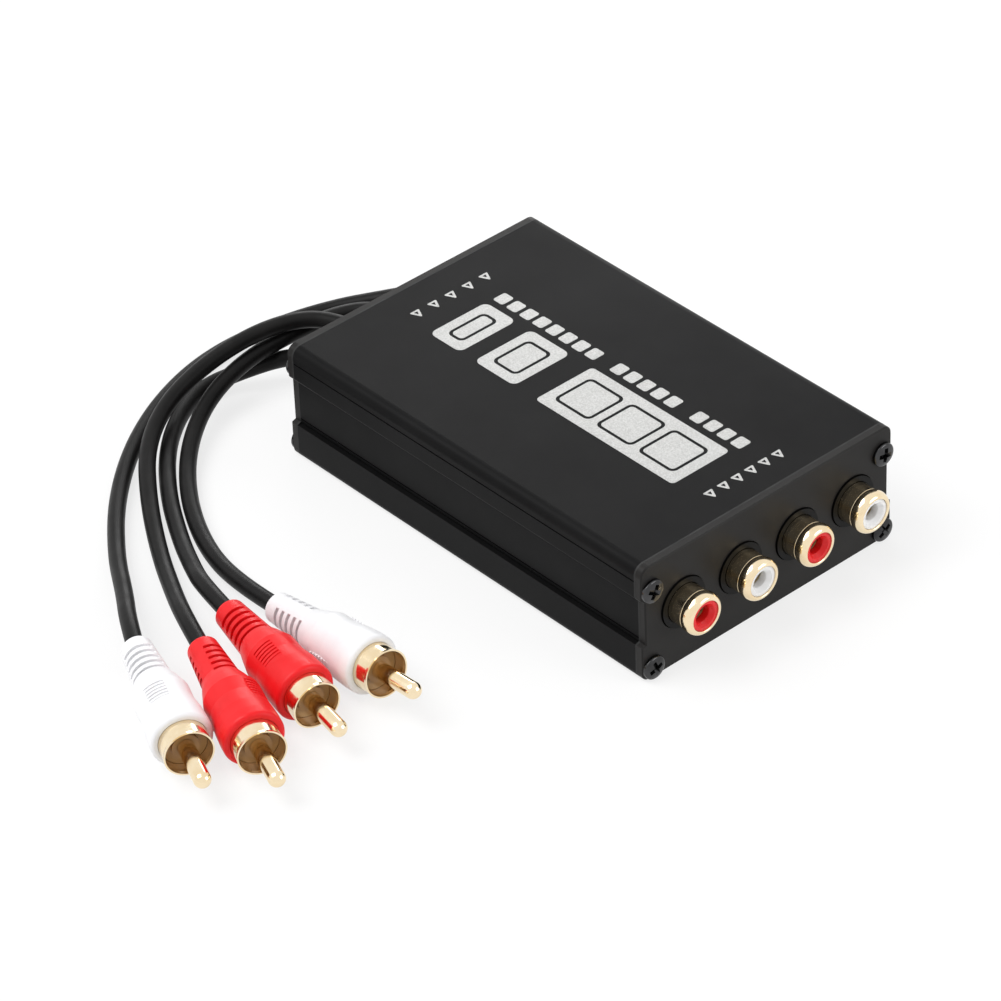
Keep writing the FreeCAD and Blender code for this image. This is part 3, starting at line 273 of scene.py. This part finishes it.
def plastic_material(name, dark, pale, roughness, skin=0.0, grain_scale=2600,
                     translucence=1.0, reflection=0.5, spread=WARM_SPREAD):
    """Moulded plastic with a faint mottling and a fine skin texture."""
    material, tree, shader = new_material(name)
    set_colour(tree, shader, object_noise(tree, scale=180, detail=3), dark, pale)
    smudge = object_noise(tree, scale=320, detail=4)
    set_roughness(tree, shader, smudge, roughness - 0.06, roughness + 0.06)
    grain = object_noise(tree, grain_scale, detail=2)
    add_bump(tree, shader, grain, distance=0.00002, strength=0.5)
    shader.inputs["Specular IOR Level"].default_value = reflection
    if skin > 0:
        shader.inputs["Subsurface Weight"].default_value = skin
        shader.inputs["Subsurface Radius"].default_value = spread
        shader.inputs["Subsurface Scale"].default_value = translucence
    return material


def metal_material(name, dark, pale, roughness, grain_stretch=(1, 1, 1), bump=0.000001):
    """Plated metal with fine tool marks and uneven polish."""
    material, tree, shader = new_material(name)
    set_colour(tree, shader, object_noise(tree, scale=240, detail=3), dark, pale)
    smudge = object_noise(tree, scale=900, detail=3, stretch=grain_stretch)
    set_roughness(tree, shader, smudge, roughness * 0.7, roughness * 1.4)
    add_bump(tree, shader, smudge, bump, strength=0.5)
    shader.inputs["Metallic"].default_value = 1.0
    return material


def make_materials():
    """Every finish by name."""
    return {
        "case": anodised_material(
            "case_anodised", (0.0050, 0.0050, 0.0052), (0.0072, 0.0072, 0.0074),
            roughness=0.42, reflection=0.055),
        # Painted reflection: the panels' base is paler than the case's to stand in for the
        # white floor mirrored in their front faces
        "panel": anodised_material(
            "panel_anodised_painted_reflection", (0.0155, 0.0147, 0.0142), (0.0195, 0.0185, 0.0180),
            roughness=0.36, reflection=0.11),
        "screw": metal_material(
            "screw_black", (0.040, 0.040, 0.041), (0.070, 0.070, 0.072), roughness=0.16),
        "gold": metal_material(
            "gold_plate", (0.87, 0.70, 0.45), (0.93, 0.79, 0.56), roughness=0.13),
        "contact": metal_material(
            "contact_gold", (0.80, 0.70, 0.50), (0.88, 0.78, 0.58), roughness=0.4),
        "gap": plastic_material(
            "seam_shadow", (0.002, 0.002, 0.002), (0.004, 0.004, 0.004), roughness=0.7),
        "print": print_material("silver_print"),
        "red": plastic_material(
            "red_insert", (0.70, 0.010, 0.012), (0.78, 0.014, 0.016),
            roughness=0.30, skin=0.35, translucence=2.4, reflection=0.3),
        "white": plastic_material(
            "white_insert", (0.84, 0.84, 0.84), (0.90, 0.90, 0.90),
            roughness=0.30, skin=0.35, translucence=2.4, reflection=0.3,
            spread=EVEN_SPREAD),
        "black": plastic_material(
            "black_housing", (0.002, 0.002, 0.002), (0.004, 0.0038, 0.0036),
            roughness=0.35, reflection=0.10),
        "cord": plastic_material(
            "cord_sheath", (0.006, 0.0058, 0.0058), (0.010, 0.0095, 0.0093),
            roughness=0.40, grain_scale=1400, reflection=0.12),
        "red_plug": plastic_material(
            "red_moulding", (0.74, 0.010, 0.013), (0.80, 0.016, 0.020),
            roughness=0.40, skin=0.12, reflection=0.22),
        "white_plug": plastic_material(
            "white_moulding", (0.80, 0.80, 0.815), (0.85, 0.85, 0.865),
            roughness=0.42, skin=0.15, reflection=0.3, spread=EVEN_SPREAD),
        "brown": plastic_material(
            "brown_insulator", (0.26, 0.13, 0.035), (0.34, 0.18, 0.055), roughness=0.35),
        "board": plastic_material(
            "board_green", (0.015, 0.075, 0.03), (0.02, 0.10, 0.04), roughness=0.4),
        "core": metal_material(
            "core_steel", (0.20, 0.20, 0.21), (0.32, 0.32, 0.33),
            roughness=0.45, grain_stretch=(1, 40, 1), bump=0.00004),
        "bobbin": plastic_material(
            "bobbin_black", (0.02, 0.02, 0.022), (0.03, 0.03, 0.032), roughness=0.45),
        "winding": metal_material(
            "winding_copper", (0.55, 0.20, 0.07), (0.70, 0.30, 0.12),
            roughness=0.35, grain_stretch=(1, 1, 60), bump=0.00006),
    }


def node_finishes():
    """Which finish each CAD node gets."""
    finishes = {
        "top_shell": "case",
        "bottom_shell": "case",
        "front_panel": "panel",
        "rear_panel": "panel",
        "panel_screws": "screw",
        "circuit_board": "board",
    }
    for number in CHANNELS:
        finishes.update({
            f"transformer_{number}_core": "core",
            f"transformer_{number}_bobbin": "bobbin",
            f"transformer_{number}_winding": "winding",
            f"jack_{number}_shell": "gold",
            f"jack_{number}_contact": "contact",
            f"jack_{number}_housing": "black",
            f"jack_{number}_insert": "red" if number in RED_JACKS else "white",
            f"cord_{number}": "cord",
            f"cord_{number}_boot": "cord",
            f"plug_{number}_body": "red_plug" if number in RED_PLUGS else "white_plug",
            f"plug_{number}_ring": "gold",
            f"plug_{number}_pin": "gold",
            f"plug_{number}_insulator": "brown",
        })
    return finishes


def paint(piece, material):
    """Give a piece one material all over."""
    piece.data.materials.clear()
    piece.data.materials.append(material)


def paint_nodes(materials):
    """Give each CAD node its finish."""
    for node, finish in node_finishes().items():
        paint(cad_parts[node], materials[finish])


# Shapes

def new_object(name, data):
    """Put a mesh, curve, lamp or camera into the scene."""
    item = bpy.data.objects.new(name, data)
    bpy.context.collection.objects.link(item)
    return item


def add_piece(name, data, material, replaced=None):
    """Put a mesh or curve into the scene as a piece of the object."""
    piece = new_object(name, data)
    paint(piece, material)
    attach(piece, "root")
    if replaced:
        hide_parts(replaced)
    return piece


def as_mesh(shape, name):
    """Turn a shape into a mesh and free the shape."""
    mesh = bpy.data.meshes.new(name)
    shape.to_mesh(mesh)
    shape.free()
    return mesh


def finish_mesh(shape, name, crease):
    """Turn a shape in millimetres into a smooth mesh in metres, sharp beyond crease degrees."""
    bmesh.ops.recalc_face_normals(shape, faces=shape.faces)
    bmesh.ops.scale(shape, vec=(MM, MM, MM), verts=shape.verts)
    mesh = as_mesh(shape, name)
    mesh.shade_smooth()
    mesh.set_sharp_from_angle(angle=math.radians(crease))
    return mesh


def evaluated_mesh(form):
    """The mesh that an object's curve or modifiers give."""
    bpy.context.view_layer.update()
    evaluated = form.evaluated_get(bpy.context.evaluated_depsgraph_get())
    return bpy.data.meshes.new_from_object(evaluated)


def arc(along, radius, reach, first, last, steps):
    """Points of a round edge as (along, radius) pairs, angles in degrees."""
    points = []
    for step in range(steps + 1):
        angle = math.radians(first + (last - first) * step / steps)
        points.append((along + reach * math.cos(angle), radius + reach * math.sin(angle)))
    return points


def join_rings(shape, low, high):
    """Faces all round between two rings of points, with three corners at a pole."""
    count = len(low)
    for index in range(count):
        after = (index + 1) % count
        corners = [low[index], low[after], high[after], high[index]]
        corners = [vert for place, vert in enumerate(corners) if vert not in corners[:place]]
        if len(corners) > 2:
            shape.faces.new(corners)


def turn_profile(shape, profile, steps, closed=True):
    """Turn (along, radius) points about the Z axis; a radius of 0 is a pole.

    A closed profile is joined from its last point back to its first.
    """
    rings = []
    for along, radius in profile:
        if radius == 0:
            rings.append([shape.verts.new((0, 0, along))] * steps)
            continue
        rings.append([shape.verts.new((radius * math.cos(2 * math.pi * step / steps),
                                       radius * math.sin(2 * math.pi * step / steps), along))
                      for step in range(steps)])
    for low, high in zip(rings, rings[1:]):
        join_rings(shape, low, high)
    if closed:
        join_rings(shape, rings[-1], rings[0])


# Jacks

def make_barrel(number, materials):
    """One jack's barrel: a thin polished tube whose front edge is rolled into a round rim."""
    mouth = BARREL_RADIUS - BEAD_HEIGHT
    bead = [(BARREL_FRONT - BEAD_LENGTH * (1 - math.cos(math.radians(turn))),
             BARREL_RADIUS - BEAD_HEIGHT * (1 - math.sin(math.radians(turn))))
            for turn in BEAD_TURNS] + [(BARREL_FRONT, mouth)]
    lip = arc(BARREL_FRONT - LIP_ROUNDING, mouth, LIP_ROUNDING, 0, -90, LIP_STEPS)
    lip_back = BARREL_FRONT - LIP_DEPTH
    profile = [(BARREL_BACK, TUBE_INSIDE), (BARREL_BACK, TUBE_RADIUS),
               (bead[0][0] - BEAD_FOOT, TUBE_RADIUS)]
    profile += bead + lip[1:]
    profile += [(lip_back, lip[-1][1]), (lip_back, TUBE_INSIDE)]
    shape = bmesh.new()
    turn_profile(shape, profile, BARREL_STEPS)
    across = JACK_PITCH * (number - MIDDLE_CHANNEL)
    stand = Matrix.Translation((across, 0, JACK_HEIGHT)) @ Matrix.Rotation(math.pi / 2, 4, "X")
    bmesh.ops.transform(shape, matrix=stand, verts=shape.verts)
    name = f"jack_{number}_barrel"
    add_piece(name, finish_mesh(shape, name, BARREL_CREASE), materials["gold"],
              replaced=f"jack_{number}_shell")


# Panel screws

def make_screw_body():
    """One pan-head screw's turned form on its own axis, head upward, without its recess."""
    profile = SHANK_AND_FOOT + arc(HEAD_EDGE_HEIGHT, HEAD_EDGE_RADIUS, HEAD_ROUNDING,
                                   HEAD_EDGE_FROM, HEAD_EDGE_TO, HEAD_EDGE_STEPS)
    for radius in CROWN_RADII:
        profile.append((CROWN_HEIGHT - CROWN_FALL * radius * radius, radius))
    profile.append((CROWN_HEIGHT, 0))
    shape = bmesh.new()
    turn_profile(shape, profile, SCREW_STEPS, closed=False)
    bmesh.ops.recalc_face_normals(shape, faces=shape.faces)
    return as_mesh(shape, "screw_form")


def make_cross():
    """The tapered cross that is cut out of a screw's head."""
    shape = bmesh.new()
    loops = []
    for height, arm, flank in CROSS_LOOPS:
        corners = [(arm, -flank), (arm, flank), (flank, flank), (flank, arm), (-flank, arm),
                   (-flank, flank), (-arm, flank), (-arm, -flank), (-flank, -flank),
                   (-flank, -arm), (flank, -arm), (flank, -flank)]
        loops.append([shape.verts.new((x, y, height)) for x, y in corners])
    join_rings(shape, *loops)
    for loop in loops:
        shape.faces.new(loop)
    bmesh.ops.recalc_face_normals(shape, faces=shape.faces)
    return as_mesh(shape, "cross_form")


def make_screw_mesh():
    """One screw with its cross recess, in millimetres."""
    form = new_object("screw_form", make_screw_body())
    tool = new_object("cross_form", make_cross())
    cut = form.modifiers.new("recess", "BOOLEAN")
    cut.operation = "DIFFERENCE"
    cut.solver = "EXACT"
    cut.object = tool
    result = evaluated_mesh(form)
    for item in (form, tool):
        bpy.data.objects.remove(item)
    return result


def make_screws(materials):
    """The eight panel screws as one piece."""
    form = make_screw_mesh()
    shape = bmesh.new()
    turns = iter(SCREW_TURNS)
    for face, lean in ((-HALF_LENGTH, 90), (HALF_LENGTH, -90)):
        for across, up in SCREW_PLACES:
            single = form.copy()
            single.transform(Matrix.Translation((across, face, up))
                             @ Matrix.Rotation(math.radians(lean), 4, "X")
                             @ Matrix.Rotation(math.radians(next(turns)), 4, "Z"))
            shape.from_mesh(single)
            bpy.data.meshes.remove(single)
    name = "panel_screw_set"
    add_piece(name, finish_mesh(shape, name, SCREW_CREASE), materials["screw"],
              replaced="panel_screws")


# Seams between the shells and the panels

def case_outline():
    """The case's end outline as (across, up) points, once round."""
    recess = HALF_WIDTH - SIDE_RECESS
    half = arc(HALF_WIDTH - BOTTOM_CORNER, BOTTOM_CORNER, BOTTOM_CORNER, -90, 0,
               BOTTOM_STEPS)
    half += [(HALF_WIDTH, SEAM_TOP), (recess, RECESS_LOW), (recess, RECESS_HIGH),
             (recess + STEP_EASE_ACROSS, RECESS_HIGH + STEP_EASE_UP),
             (recess + SIDE_RECESS / 2, (RECESS_HIGH + STEP_TOP) / 2),
             (HALF_WIDTH - STEP_EASE_ACROSS, STEP_TOP - STEP_EASE_UP), (HALF_WIDTH, STEP_TOP)]
    half += arc(HALF_WIDTH - TOP_CORNER, CASE_HEIGHT - TOP_CORNER, TOP_CORNER, 0, 90,
                TOP_STEPS)
    return half + [(-across, up) for across, up in reversed(half)]


def make_seam(name, along, materials):
    """The thin dark line where a panel meets the shells, as a fine raised band."""
    outline = case_outline()
    count = len(outline)
    section = [(-SEAM_SUNK, -SEAM_HALF_WIDTH), (SEAM_PROUD, -SEAM_HALF_WIDTH),
               (SEAM_PROUD, SEAM_HALF_WIDTH), (-SEAM_SUNK, SEAM_HALF_WIDTH)]
    shape = bmesh.new()
    rings = []
    for index, (across, up) in enumerate(outline):
        before = outline[index - 1]
        after = outline[(index + 1) % count]
        run = Vector((after[0] - before[0], after[1] - before[1])).normalized()
        outward = Vector((run.y, -run.x))
        rings.append([shape.verts.new((across + outward.x * raised, along + shift,
                                       max(up + outward.y * raised, 0)))
                      for raised, shift in section])
    for index in range(count):
        join_rings(shape, rings[index], rings[(index + 1) % count])
    add_piece(name, finish_mesh(shape, name, SEAM_CREASE), materials["gap"])


# Print on the top face: plain fields and simple shapes

def rounded_points(left, right, low, high, radius):
    """Points round a rectangle with rounded corners."""
    points = []
    for across, along, start in ((right - radius, low + radius, -90),
                                 (right - radius, high - radius, 0),
                                 (left + radius, high - radius, 90),
                                 (left + radius, low + radius, 180)):
        points += arc(across, along, radius, start, start + 90, CORNER_STEPS)
    return points


def triangle_points(corners, radius):
    """Points round a triangle with rounded corners."""
    points = []
    for index, corner in enumerate(corners):
        here = Vector(corner)
        before = (Vector(corners[index - 1]) - here).normalized()
        after = (Vector(corners[(index + 1) % 3]) - here).normalized()
        half = before.angle(after) / 2
        reach = radius / math.tan(half)
        first, last = here + before * reach, here + after * reach
        for step in range(TIP_STEPS + 1):
            share = step / TIP_STEPS
            points.append(tuple(first * (1 - share) ** 2 + here * 2 * share * (1 - share)
                                + last * share ** 2))
    return points


def print_outlines():
    """Outlines of every printed shape on the top face."""
    outlines = [rounded_points(*field) for field in PRINT_FIELDS]
    for low, high in GROOVE_SPANS:
        for left, right, inset, radius in GROOVE_LOOPS:
            outlines.append(rounded_points(left, right, low + inset, high - inset, radius))
    along = SQUARES_START
    for group in SQUARE_GROUPS:
        for _ in range(group):
            outlines.append(rounded_points(SQUARES_LEFT, SQUARES_RIGHT, along,
                                           along + SQUARE_LENGTH, SQUARE_ROUNDING))
            along += SQUARE_PITCH
        along += GROUP_GAP
    for count, first, pitch, middle in TRIANGLE_ROWS:
        for index in range(count):
            across = first + pitch * index
            for half_width, base, tip, radius in TRIANGLE_LOOPS:
                outlines.append(triangle_points([(across - half_width, middle + base),
                                                 (across + half_width, middle + base),
                                                 (across, middle + tip)], radius))
    return outlines


def make_print(materials):
    """The silver print as one thin film on the top face."""
    curve = bpy.data.curves.new("print_form", "CURVE")
    curve.dimensions = "2D"
    curve.fill_mode = "BOTH"
    curve.extrude = PRINT_HALF_THICKNESS
    for outline in print_outlines():
        spline = curve.splines.new("POLY")
        spline.points.add(len(outline) - 1)
        for point, (across, along) in zip(spline.points, outline):
            point.co = (across * MM, along * MM, 0, 1)
        spline.use_cyclic_u = True
    form = new_object("print_form", curve)
    mesh = evaluated_mesh(form)
    bpy.data.objects.remove(form)
    mesh.transform(Matrix.Translation((0, 0, CASE_HEIGHT * MM + PRINT_LIFT)))
    add_piece("top_print", mesh, materials["print"])


# Cords

def make_cord(number, materials):
    """One lead's cord: a smooth tube along its route, in place of the CAD cord."""
    route = CORD_ROUTES[number - 1]
    name = f"cord_{number}_sheath"
    curve = bpy.data.curves.new(name, "CURVE")
    curve.dimensions = "3D"
    spline = curve.splines.new("NURBS")
    spline.points.add(len(route) - 1)
    for point, place in zip(spline.points, route):
        point.co = (*place, 1)
    spline.order_u = 3
    spline.use_endpoint_u = True
    spline.resolution_u = CORD_STEPS
    curve.resolution_u = CORD_STEPS
    curve.bevel_depth = CORD_DIAMETER / 2
    curve.bevel_resolution = CORD_ROUND_STEPS
    curve.use_fill_caps = True
    cord = add_piece(name, curve, materials["cord"], replaced=f"cord_{number}")


# Camera, floor and lights

def make_camera():
    """The photograph's viewpoint."""
    azimuth = math.radians(CAMERA_AZIMUTH)
    elevation = math.radians(CAMERA_ELEVATION)
    roll = math.radians(CAMERA_ROLL)
    back = Vector((math.sin(azimuth) * math.cos(elevation),
                   -math.cos(azimuth) * math.cos(elevation), math.sin(elevation)))
    level_right = Vector((math.cos(azimuth), math.sin(azimuth), 0))
    level_up = back.cross(level_right)
    right = level_right * math.cos(roll) + level_up * math.sin(roll)
    up = level_up * math.cos(roll) - level_right * math.sin(roll)
    data = bpy.data.cameras.new("photo_camera")
    data.sensor_width = SENSOR_WIDTH
    data.lens = CAMERA_LENS
    data.clip_start = CAMERA_NEAR
    data.clip_end = CAMERA_FAR
    camera = new_object("photo_camera", data)
    place = Vector(CAMERA_TARGET) + back * CAMERA_DISTANCE
    axes = Matrix((right, up, back)).transposed().to_4x4()
    camera.matrix_world = Matrix.Translation(place) @ axes
    bpy.context.scene.camera = camera


def seen_rays(tree):
    """1 for the rays that show the background: from the camera, or through gloss or glass."""
    path = tree.nodes.new("ShaderNodeLightPath")
    total = path.outputs["Is Camera Ray"]
    for kind in ("Is Glossy Ray", "Is Transmission Ray"):
        larger = tree.nodes.new("ShaderNodeMath")
        larger.operation = "MAXIMUM"
        tree.links.new(total, larger.inputs[0])
        tree.links.new(path.outputs[kind], larger.inputs[1])
        total = larger.outputs["Value"]
    return total


def by_rays(tree, unseen, seen):
    """One value for the rays that only bring light, another for those that show it."""
    value = tree.nodes.new("ShaderNodeMapRange")
    value.inputs["To Min"].default_value = unseen
    value.inputs["To Max"].default_value = seen
    tree.links.new(seen_rays(tree), value.inputs["Value"])
    return value.outputs["Result"]


def make_floor():
    """White floor that glows where it is seen, so that only faint shadows stay on it."""
    shape = bmesh.new()
    corners = [shape.verts.new((x * FLOOR_HALF_SIDE, y * FLOOR_HALF_SIDE, FLOOR_LEVEL))
               for x, y in ((-1, -1), (1, -1), (1, 1), (-1, 1))]
    shape.faces.new(corners)
    floor = new_object("floor", as_mesh(shape, "floor"))
    material, tree, shader = new_material("floor_white")
    paper = object_noise(tree, scale=30, detail=3)
    set_colour(tree, shader, paper, (0.90, 0.90, 0.90), (0.92, 0.92, 0.92))
    shader.inputs["Roughness"].default_value = 0.9
    shader.inputs["Specular IOR Level"].default_value = 0.1
    glow = tree.nodes.new("ShaderNodeEmission")
    glow.inputs["Color"].default_value = (1, 1, 1, 1)
    glow.inputs["Strength"].default_value = 1.0
    mix = tree.nodes.new("ShaderNodeMixShader")
    tree.links.new(by_rays(tree, unseen=0.0, seen=FLOOR_GLOW), mix.inputs["Fac"])
    tree.links.new(shader.outputs["BSDF"], mix.inputs[1])
    tree.links.new(glow.outputs["Emission"], mix.inputs[2])
    output = tree.nodes["Material Output"]
    tree.links.new(mix.outputs["Shader"], output.inputs["Surface"])
    paint(floor, material)


def make_world():
    """Even pale surroundings, plain white where they are seen."""
    world = bpy.data.worlds.new("studio")
    bpy.context.scene.world = world
    world.use_nodes = True
    tree = world.node_tree
    background = tree.nodes["Background"]
    background.inputs["Color"].default_value = (1, 1, 1, 1)
    strength = by_rays(tree, WORLD_LIGHT, WORLD_SEEN)
    tree.links.new(strength, background.inputs["Strength"])


def make_lights():
    """Soft lamps: above, in front on the right, and low behind for a sheen on the top face."""
    for name, place, aim, size, power, shown in LAMPS:
        data = bpy.data.lights.new(name, "AREA")
        data.shape = "RECTANGLE"
        data.size, data.size_y = size
        data.energy = power
        lamp = new_object(name, data)
        lamp.location = place
        direction = Vector(aim) - Vector(place)
        lamp.rotation_euler = direction.to_track_quat("-Z", "Y").to_euler()
        lamp.visible_camera = shown


materials = make_materials()
paint_nodes(materials)
make_camera()
for number in CHANNELS:
    make_cord(number, materials)
    make_barrel(number, materials)
make_screws(materials)
make_seam("front_seam", PANEL_THICKNESS - HALF_LENGTH, materials)
make_seam("rear_seam", HALF_LENGTH - PANEL_THICKNESS, materials)
make_print(materials)
make_floor()
make_world()
make_lights()
bpy.context.scene.view_settings.view_transform = "Standard"
